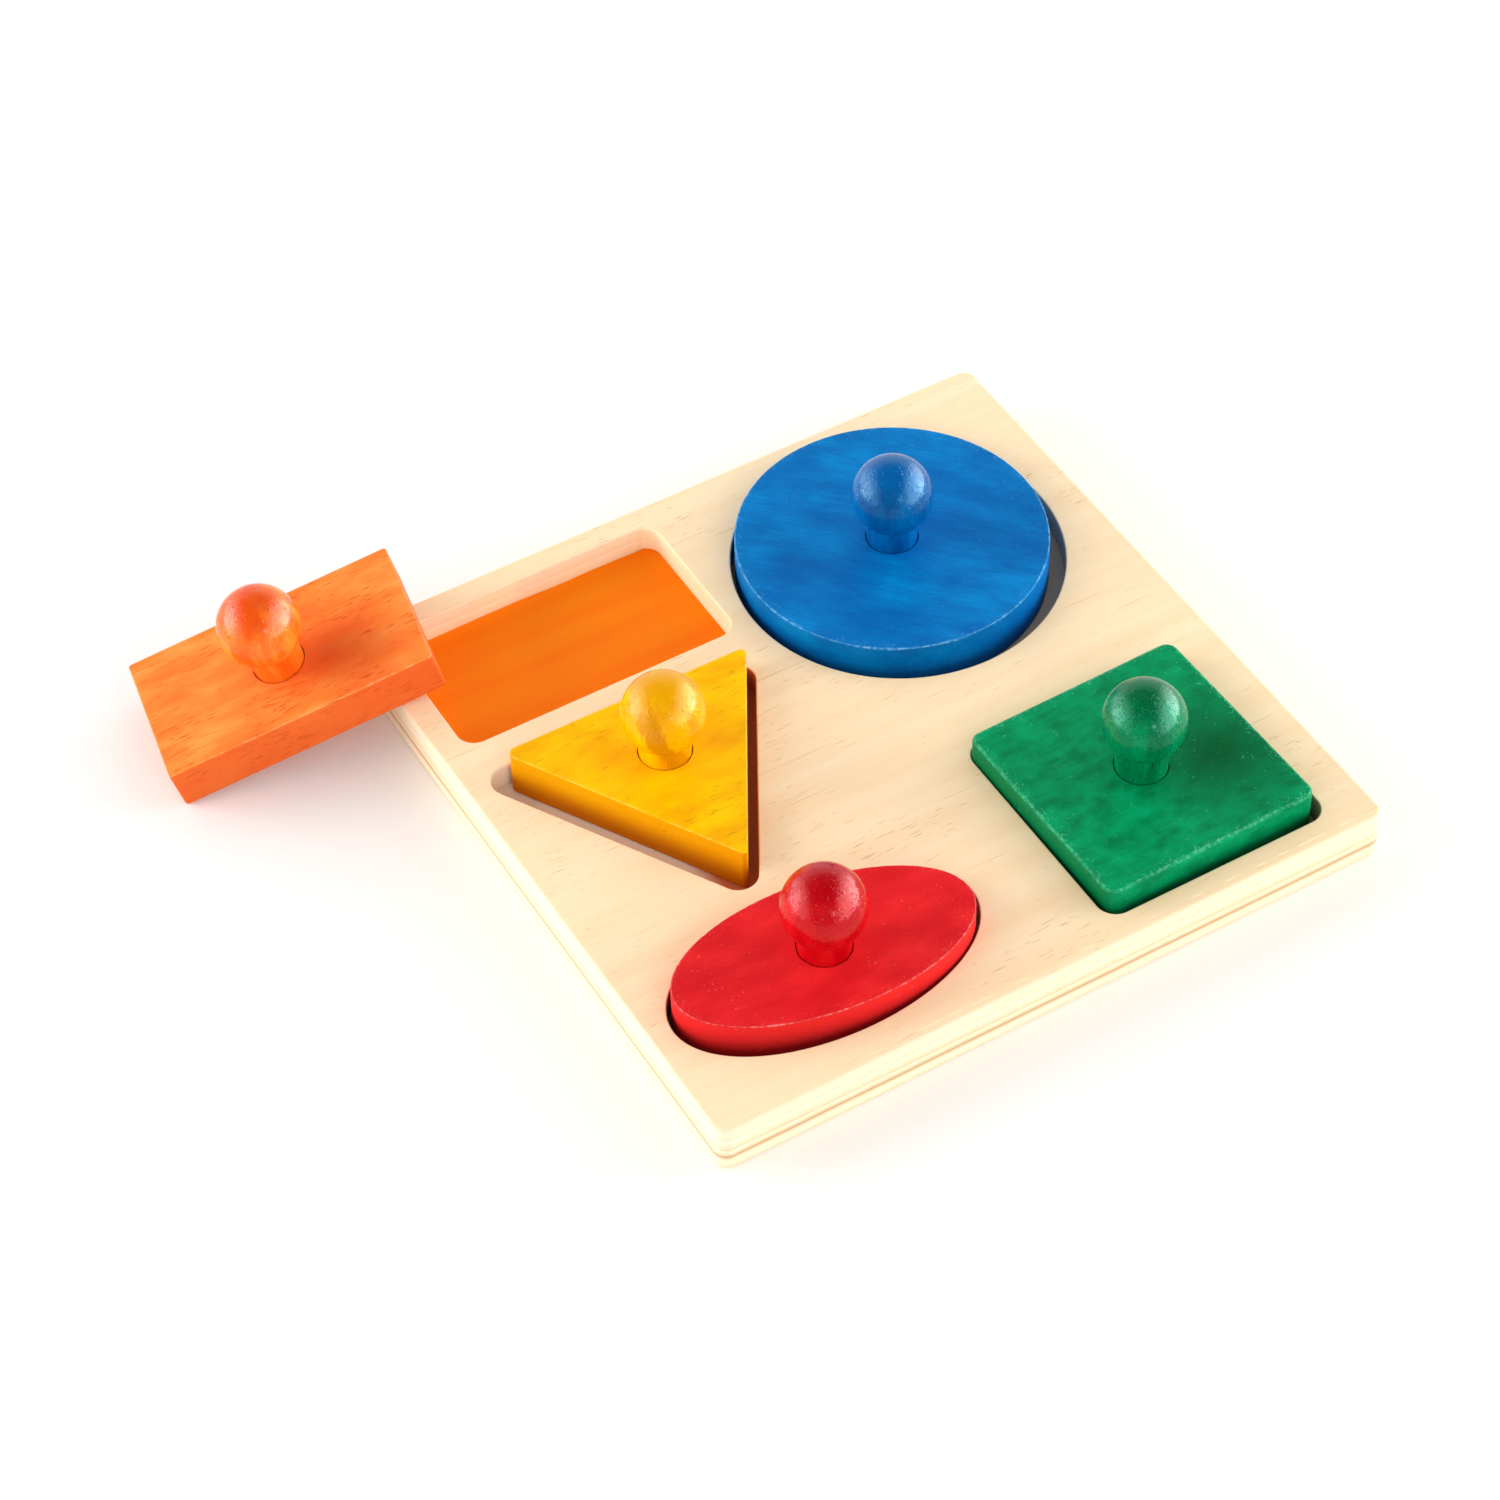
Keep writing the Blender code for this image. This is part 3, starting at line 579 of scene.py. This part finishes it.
    # The pale line on the top edge, of a width that comes and goes, torn every millimetre or two: wear from
    # handling, and in part a painted highlight where the eased edge catches the light.
    reach = add(tree, "MapRange", {"Value": grain(tree, place, 0.012, 0.009, 3.0, seed + 5), "From Min": 0.35,
                                   "From Max": 0.65, "To Min": worn * 0.5, "To Max": worn * 1.4}).outputs[0]
    off = add(tree, "Math", {0: rim, 1: 0.0001}, operation="SUBTRACT").outputs[0]
    off = add(tree, "Math", {0: off}, operation="ABSOLUTE").outputs[0]
    off = add(tree, "Math", {0: off, 1: reach}, operation="DIVIDE").outputs[0]
    near = add(tree, "MapRange", {"Value": off, "From Min": 1.1, "From Max": 0.3}).outputs[0]
    torn = grain(tree, plain, 0.0016, 0.0016, 2.0, seed + 6)
    torn = add(tree, "MapRange", {"Value": torn, "From Min": 0.45, "From Max": 0.62, "To Min": 0.2,
                                  "To Max": 1.0}).outputs[0]
    torn = add(tree, "Math", {0: torn, 1: edge_wear_and_highlight}, operation="MULTIPLY").outputs[0]
    layers.append((pale, add(tree, "Math", {0: near, 1: torn}, operation="MULTIPLY").outputs[0]))
    tree.links.new(laid(tree, tone, layers), shader.inputs["Base Color"])

    relief = add(tree, "Mix", {0: 0.5, 2: fibre, 3: fine}).outputs[0]
    relief = add(tree, "Math", {0: relief, 1: dash}, operation="SUBTRACT").outputs[0]
    bump = add(tree, "Bump", {"Height": relief, "Distance": 0.0001, "Strength": 0.3})
    tree.links.new(bump.outputs[0], shader.inputs["Normal"])
    shader.inputs["Roughness"].default_value = 0.5
    shader.inputs["Specular IOR Level"].default_value = 0.05
    return material


def lacquered_wood(name, seed, deep, main, bright, crown, pore, gleam, pores=0.4, band=None):
    """Turned wood under stain and gloss lacquer: the grain stands upright, its ends at the crown are deeper,
    in part as a painted dark reflection of the room overhead.

    The lacquer is tinted, which shows in its gleam, and not levelled, so that fibres and small lumps break
    up its highlights. Deep, main and bright are the tones of the stain, and pores is the pores' share. A
    band is a layer of darker late wood: its direction in plan, distance from the axis, lean, thickness,
    share and colour.
    """
    material, tree, shader = finish_of(name)
    place = add(tree, "Attribute", attribute_name="wood").outputs["Vector"]
    ends = add(tree, "Attribute", attribute_name="end").outputs["Fac"]
    tone, fibre = grained(tree, place, 0.03, 0.006, 0.15, deep, main, bright, seed)
    layers = []
    if band:
        turn, away, tilt, thick, share, colour = band
        normal = (np.sin(tilt), np.cos(turn) * np.cos(tilt), np.sin(turn) * np.cos(tilt))
        off = add(tree, "VectorMath", {0: place, 1: normal}, operation="DOT_PRODUCT").outputs["Value"]
        off = add(tree, "Math", {0: off, 1: away}, operation="SUBTRACT").outputs[0]
        off = add(tree, "Math", {0: off}, operation="ABSOLUTE").outputs[0]
        edge = add(tree, "MapRange", {"Value": fibre, "From Min": 0.3, "From Max": 0.7, "To Min": thick * 0.4,
                                      "To Max": thick * 0.8}).outputs[0]
        off = add(tree, "Math", {0: off, 1: edge}, operation="DIVIDE").outputs[0]
        layers.append((colour, add(tree, "MapRange", {"Value": off, "From Min": 1.15, "From Max": 0.75,
                                                      "To Max": share}).outputs[0]))
    # The crown's deeper tone is end grain taking more stain, and in part a painted dark reflection of the
    # room overhead.
    layers.append((crown, add(tree, "MapRange", {"Value": ends, "From Min": 0.25, "From Max": 0.9,
                                                 "To Max": 0.85}).outputs[0]))
    dash = add(tree, "MapRange", {"Value": grain(tree, place, 0.003, 0.0005, 1.0, seed + 2), "From Min": 0.66,
                                  "From Max": 0.72, "To Max": pores}).outputs[0]
    layers.append((pore, dash))
    tree.links.new(laid(tree, tone, layers), shader.inputs["Base Color"])

    # The lumps are a little over 1 mm across and stand up only where the noise is high.
    lumps = add(tree, "TexNoise", {"Vector": place, "W": seed, "Scale": 800.0, "Detail": 1.0},
                noise_dimensions="4D").outputs["Fac"]
    lumps = add(tree, "MapRange", {"Value": lumps, "From Min": 0.58, "From Max": 0.74,
                                   "To Max": 1.5}).outputs[0]
    relief = add(tree, "Mix", {0: 0.75, 2: fibre, 3: lumps}).outputs[0]
    relief = add(tree, "Math", {0: relief, 1: dash}, operation="SUBTRACT").outputs[0]
    bump = add(tree, "Bump", {"Height": relief, "Distance": 0.00018, "Strength": 0.5})
    tree.links.new(bump.outputs[0], shader.inputs["Normal"])
    shader.inputs["Roughness"].default_value = 0.19
    shader.inputs["Specular IOR Level"].default_value = 0.34
    shader.inputs["Specular Tint"].default_value = linear(gleam)
    return material


DISC_ACROSS, DISC_EASING, DISC_FOOT_EASING, DISC_NECK = 0.1039, 0.00045, 0.0006, 0.0077
DISC_GRAIN = np.radians(-47.0)
disc_place = at(0.05015, 0.057823, SEAT)
disc = block("circle_block_stained", "circle_paint", "circle_piece",
             oval_outline(DISC_ACROSS, DISC_ACROSS, count=OVAL_POINTS), disc_place, DISC_EASING,
             DISC_FOOT_EASING, DISC_GRAIN)
disc.data.materials.append(stained_wood(
    "blue_stain", seed=3.0, deep="0060A8", main="006EB4", bright="0080C6", pore="003C84", end="0064AE",
    pale="86CBF2", long=0.022, wide=0.012, streak=0.28, pores=0.35, scratches=0.2, specks=0.2, edge_wear_and_highlight=0.6,
    worn=0.0005, painted_knob_shadow=((0.014, 0.012), 0.03, 0.02, "0058A6", 0.2)))
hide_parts("circle_block")
disc_knob = knob("circle_knob_turned", "circle_lacquer", "circle_piece", DISC_NECK, disc_place)
disc_knob.data.materials.append(lacquered_wood(
    "blue_lacquer", seed=3.0, deep="004484", main="005496", bright="0066AC", crown="00589C", pore="003068",
    gleam="B4F4FF"))
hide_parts("circle_knob")

# The green square
# A square sawn from a solid board and stained green, with its corners and edges sanded round and its faces
# scuffed all over. Its knob is turned and glued in like the disc's.

SQUARE_SIDE, SQUARE_CORNER, SQUARE_EASING, SQUARE_NECK = 0.078, 0.004, 0.0011, 0.0094
square_place = at(0.062383, -0.069146, SEAT, 0.018974)
square_outline = rounded_path(rectangle_corners(SQUARE_SIDE, SQUARE_SIDE), [SQUARE_CORNER] * 4, OUTLINE_ARC,
                              OUTLINE_RUN)
square = block("square_block_stained", "square_paint", "square_piece", square_outline, square_place,
               SQUARE_EASING, SQUARE_EASING)
square.data.materials.append(stained_wood(
    "green_stain", seed=11.0, deep="007645", main="008A55", bright="00985F", pore="00401F", end="00733F",
    pale="74D8AC", long=0.008, wide=0.006, streak=0.25, pores=0.3, scratches=0.6, specks=0.4, edge_wear_and_highlight=0.35,
    worn=0.0009, low=0.57, painted_knob_shadow=((0.024, -0.008), 0.034, 0.032, "005A2E", 1.0)))
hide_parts("square_block")
square_knob = knob("square_knob_turned", "square_lacquer", "square_piece", SQUARE_NECK, square_place)
square_knob.data.materials.append(lacquered_wood(
    "green_lacquer", seed=11.0, deep="00643A", main="007446", bright="008450", crown="005C32", pore="00301A",
    gleam="A8FFEC", pores=0.9))
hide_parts("square_knob")

# The yellow triangle
# An equal-sided triangle sawn from a solid board and stained yellow, its edges left nearly sharp and its
# corners blunted, the front one least. Open pores show as olive dashes. Its knob has a darker band.

TRIANGLE_SIDE, TRIANGLE_CORNERS = 0.089, [0.0013, 0.0019, 0.0026]
TRIANGLE_EASING, TRIANGLE_FOOT_EASING, TRIANGLE_NECK = 0.0003, 0.0006, 0.0062
triangle_place = at(-0.060919, 0.014239, SEAT, -0.004831)
triangle_outline = rounded_path(triangle_corners(TRIANGLE_SIDE), TRIANGLE_CORNERS, OUTLINE_ARC, OUTLINE_RUN)
triangle = block("triangle_block_stained", "triangle_paint", "triangle_piece", triangle_outline,
                 triangle_place, TRIANGLE_EASING, TRIANGLE_FOOT_EASING)
triangle.data.materials.append(stained_wood(
    "yellow_stain", seed=21.0, deep="F0AA00", main="FBBC00", bright="FFC900", pore="A07000", end="DE9600",
    pale="FFE978", streak=0.12, pores=0.5, dense=0.602, scratches=0.0, specks=0.1, edge_wear_and_highlight=0.5, side="E69A00",
    foot="B86200", low=0.85, painted_knob_shadow=((0.017, 0.004), 0.02, 0.012, "D89A00", 0.5)))
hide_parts("triangle_block")
triangle_knob = knob("triangle_knob_turned", "triangle_lacquer", "triangle_piece", TRIANGLE_NECK,
                     triangle_place)
triangle_knob.data.materials.append(lacquered_wood(
    "yellow_lacquer", seed=21.0, deep="E89A00", main="F4AC00", bright="FDBC00", crown="E29C00", pore="A87000",
    gleam="FFF4C0", band=(-0.51, 0.0042, 0.38, 0.0058, 0.9, "D08800")))
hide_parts("triangle_knob")

# The red oval
# An ellipse sawn from a solid board of even grain and stained red, its edge barely eased and worn to a thin
# pink line, in part a painted highlight. Its knob is turned and glued in like the disc's.

OVAL_LENGTH, OVAL_WIDTH, OVAL_EASING, OVAL_FOOT_EASING, OVAL_NECK = 0.0995, 0.0505, 0.0004, 0.0006, 0.0070
oval_place = at(-0.059645, -0.079741, SEAT, -0.087722)
oval = block("oval_block_stained", "oval_paint", "oval_piece",
             oval_outline(OVAL_LENGTH, OVAL_WIDTH, count=OVAL_POINTS), oval_place, OVAL_EASING,
             OVAL_FOOT_EASING)
oval.data.materials.append(stained_wood(
    "red_stain", seed=31.0, deep="D21A20", main="DC1F25", bright="E82729", pore="7A0A12", end="D01A22",
    pale="FFA8A0", streak=0.12, pores=0.12, scratches=0.12, specks=0.35, edge_wear_and_highlight=0.5, side="E62A28", low=0.4,
    painted_knob_shadow=((0.0, 0.003), 0.03, 0.018, "D01820", 0.4)))
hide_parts("oval_block")
oval_knob = knob("oval_knob_turned", "oval_lacquer", "oval_piece", OVAL_NECK, oval_place)
oval_knob.data.materials.append(lacquered_wood(
    "red_lacquer", seed=31.0, deep="B4000C", main="C40612", bright="D8141A", crown="A8000C", pore="7A0410",
    gleam="FFC8C8", pores=0.3))
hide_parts("oval_knob")

# The orange rectangle
# A rectangle sawn from a solid board and stained orange, taken out of its well: one corner is on the table
# and its underside leans on the tray's rim. LEAN is its slope, and LEAN_TURN its turn in its own plane.

RECTANGLE_LENGTH, RECTANGLE_WIDTH, RECTANGLE_CORNER = 0.0914, 0.0503, 0.001
RECTANGLE_EASING, RECTANGLE_FOOT_EASING, RECTANGLE_NECK = 0.00035, 0.0011, 0.0085
LEAN, LEAN_PLACE = 0.251401, (-0.119073, 0.110763, 0.018553)
LEAN_SLIDE, LEAN_TURN = -0.0258, np.radians(-10.4)
rectangle_place = (Matrix.Translation(LEAN_PLACE) @ Matrix.Rotation(-LEAN, 4, "Y")
                   @ Matrix.Translation((LEAN_SLIDE, 0.0, 0.0)) @ Matrix.Rotation(LEAN_TURN, 4, "Z"))
rectangle_outline = rounded_path(rectangle_corners(RECTANGLE_LENGTH, RECTANGLE_WIDTH), [RECTANGLE_CORNER] * 4,
                                 OUTLINE_ARC, OUTLINE_RUN)
rectangle = block("rectangle_block_stained", "rectangle_paint", "rectangle_piece", rectangle_outline,
                  rectangle_place, RECTANGLE_EASING, RECTANGLE_FOOT_EASING)
# The orange's pale end colour is a painted highlight on its end faces, where the eased right end catches the
# light.
rectangle.data.materials.append(stained_wood(
    "orange_stain", seed=41.0, deep="FA7630", main="FF8638", bright="FF9848", pore="C24A18", end="FFAE80",
    pale="FFB27C", streak=0.2, pores=0.65, dense=0.565, scratches=0.0, specks=0.15, edge_wear_and_highlight=0.6, side="E05E26",
    low=0.1, painted_knob_shadow=((0.0145, -0.006), 0.028, 0.02, "D2440E", 0.8)))
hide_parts("rectangle_block")
rectangle_knob = knob("rectangle_knob_turned", "rectangle_lacquer", "rectangle_piece", RECTANGLE_NECK,
                      rectangle_place)
rectangle_knob.data.materials.append(lacquered_wood(
    "orange_lacquer", seed=41.0, deep="EA580E", main="F36C16", bright="FF8E2E", crown="DE4204", pore="B84A14",
    gleam="FFF4EC"))
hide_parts("rectangle_knob")

# The studio
# A white table that runs far out, two large soft lamps low at the object's left and right and a small one a
# little higher on the camera's side, in a room whose white walls light it softly from low down all round.
# The eye sees the table run out to pure white. Lamps, walls and screens are placed by the camera's heading.

TABLE_SIDE, TABLE_DROP = 16.0, 0.0002
table_mesh = bpy.data.meshes.new("table_top")
table_corners = [(x, y, 0.0) for x, y in rectangle_corners(TABLE_SIDE, TABLE_SIDE)]
table_mesh.from_pydata(table_corners, [], [(0, 1, 2, 3)])
table_top = bpy.data.objects.new("table_top", table_mesh)
bpy.context.scene.collection.objects.link(table_top)
table_top.location = (0.0, 0.0, -TABLE_DROP)

# Matt white paper, which keeps the object's shadow near it and is plain white to the eye from 0.75 m out.
paper, tree, shader = finish_of("white_table_paper")
shader.inputs["Base Color"].default_value = linear("FBFAF8")
shader.inputs["Roughness"].default_value = 0.9
shader.inputs["Specular IOR Level"].default_value = 0.0
place = add(tree, "TexCoord").outputs["Object"]
apart = add(tree, "VectorMath", {0: place}, operation="LENGTH").outputs["Value"]
far = add(tree, "MapRange", {"Value": apart, "From Min": 0.16, "From Max": 0.75},
          interpolation_type="SMOOTHSTEP").outputs[0]
ray = add(tree, "LightPath").outputs
seen = add(tree, "Math", {0: ray["Is Camera Ray"], 1: ray["Is Glossy Ray"]}, operation="ADD").outputs[0]
seen = add(tree, "Math", {0: seen, 1: ray["Is Transmission Ray"]}, operation="ADD").outputs[0]
white = add(tree, "Emission", {"Strength": 1.0}).outputs[0]
mixed = add(tree, "MixShader", {0: add(tree, "Math", {0: far, 1: seen}, operation="MULTIPLY").outputs[0],
                                1: shader.outputs[0], 2: white}).outputs[0]
tree.links.new(mixed, tree.nodes["Material Output"].inputs["Surface"])
table_mesh.materials.append(paper)

CAMERA_YAW, CAMERA_PITCH, CAMERA_ROLL = np.radians(29.387), np.radians(47.640), np.radians(-1.710)


def softbox(name, bearing, height, distance, size, energy):
    """An area lamp aimed at the tray's middle, placed by its bearing from the camera's side and its height,
    both in degrees: away = (sin a cos e, -cos a cos e, sin e), with a the bearing less the camera's heading.
    """
    lamp = bpy.data.lights.new(name, "AREA")
    lamp.shape = "RECTANGLE"
    lamp.size, lamp.size_y = size
    lamp.energy = energy
    item = bpy.data.objects.new(name, lamp)
    a, e = -CAMERA_YAW + np.radians(bearing), np.radians(height)
    away = Vector((np.sin(a) * np.cos(e), -np.cos(a) * np.cos(e), np.sin(e)))
    item.location = away * distance
    item.rotation_mode = "QUATERNION"
    item.rotation_quaternion = away.to_track_quat("Z", "Y")
    bpy.context.scene.collection.objects.link(item)


softbox("left_softbox", -90.0, 16.0, 1.6, (1.05, 0.95), 16.0)
softbox("right_softbox", 98.0, 15.0, 1.6, (0.85, 0.75), 12.5)
softbox("front_lamp", 24.0, 27.0, 2.0, (0.25, 0.25), 3.0)

# The walls, white low down and dim overhead. Gloss sees them dark in front, so that the knobs keep their
# deep colour, and two bright screens at the sides, which make the knobs' pale flanks and light nothing else.
# Cycles samples a world without asking for the kind of ray, so sampling is off and the rays find the walls.
world = bpy.data.worlds.new("white_walls")
bpy.context.scene.world = world
world.use_nodes = True
world.cycles.sampling_method = "NONE"
tree = world.node_tree
way = add(tree, "TexCoord").outputs["Generated"]
ray = add(tree, "LightPath").outputs
gloss = ray["Is Glossy Ray"]
upward = add(tree, "SeparateXYZ", {0: way}).outputs["Z"]
low_light = add(tree, "Mix", {0: gloss, 2: 1.5, 3: 1.2}).outputs[0]
high_light = add(tree, "Mix", {0: gloss, 2: 0.3, 3: 0.1}).outputs[0]
top_edge = add(tree, "Mix", {0: gloss, 2: 0.95, 3: 0.75}).outputs[0]
walls = add(tree, "MapRange", {"Value": upward, "From Min": 0.5, "From Max": top_edge, "To Min": low_light,
                               "To Max": high_light}, interpolation_type="SMOOTHSTEP").outputs[0]
behind = add(tree, "VectorMath", {0: way, 1: (np.sin(CAMERA_YAW), np.cos(CAMERA_YAW), 0.0)},
             operation="DOT_PRODUCT").outputs["Value"]
front = add(tree, "Mix", {0: gloss, 2: 0.85, 3: 0.02}).outputs[0]
open_side = add(tree, "MapRange", {"Value": behind, "From Min": -0.5, "From Max": 0.4, "To Min": front,
                                   "To Max": 1.0}, interpolation_type="SMOOTHSTEP").outputs[0]
light = add(tree, "Math", {0: walls, 1: open_side}, operation="MULTIPLY").outputs[0]
across = add(tree, "VectorMath", {0: way, 1: (np.cos(CAMERA_YAW), -np.sin(CAMERA_YAW), 0.0)},
             operation="DOT_PRODUCT").outputs["Value"]
for begin, full, power in ((-0.5, -0.85, 4.0), (0.4, 0.85, 9.0)):
    screen = add(tree, "MapRange", {"Value": across, "From Min": begin, "From Max": full, "To Max": power},
                 interpolation_type="SMOOTHSTEP").outputs[0]
    screen = add(tree, "Math", {0: screen, 1: gloss}, operation="MULTIPLY").outputs[0]
    light = add(tree, "Math", {0: light, 1: screen}, operation="ADD").outputs[0]
strength = add(tree, "Mix", {0: ray["Is Camera Ray"], 2: light, 3: 1.0}).outputs[0]
back = tree.nodes["Background"]
back.inputs["Color"].default_value = (1.0, 1.0, 1.0, 1.0)
tree.links.new(strength, back.inputs["Strength"])

# The camera
# A long lens looks down at the tray from its front left corner, as the photograph's does. Its heading, its
# downward pitch and its roll stand above, with the lamps that are placed by it.

CAMERA_PLACE, LENS, SENSOR = (-0.4597, -0.7481, 0.9675), 97.598, 36.0
camera_data = bpy.data.cameras.new("camera")
camera_data.lens, camera_data.sensor_width = LENS, SENSOR
camera = bpy.data.objects.new("camera", camera_data)
bpy.context.scene.collection.objects.link(camera)
ahead = Vector((np.sin(CAMERA_YAW) * np.cos(CAMERA_PITCH), np.cos(CAMERA_YAW) * np.cos(CAMERA_PITCH),
                -np.sin(CAMERA_PITCH)))
right = Vector((np.cos(CAMERA_YAW), -np.sin(CAMERA_YAW), 0.0))
up = right.cross(ahead)
turned_right = right * np.cos(CAMERA_ROLL) + up * np.sin(CAMERA_ROLL)
turned_up = up * np.cos(CAMERA_ROLL) - right * np.sin(CAMERA_ROLL)
facing = Matrix((turned_right, turned_up, -ahead)).transposed()
camera.matrix_world = Matrix.Translation(CAMERA_PLACE) @ facing.to_4x4()
bpy.context.scene.camera = camera
bpy.context.scene.view_settings.view_transform = "Standard"
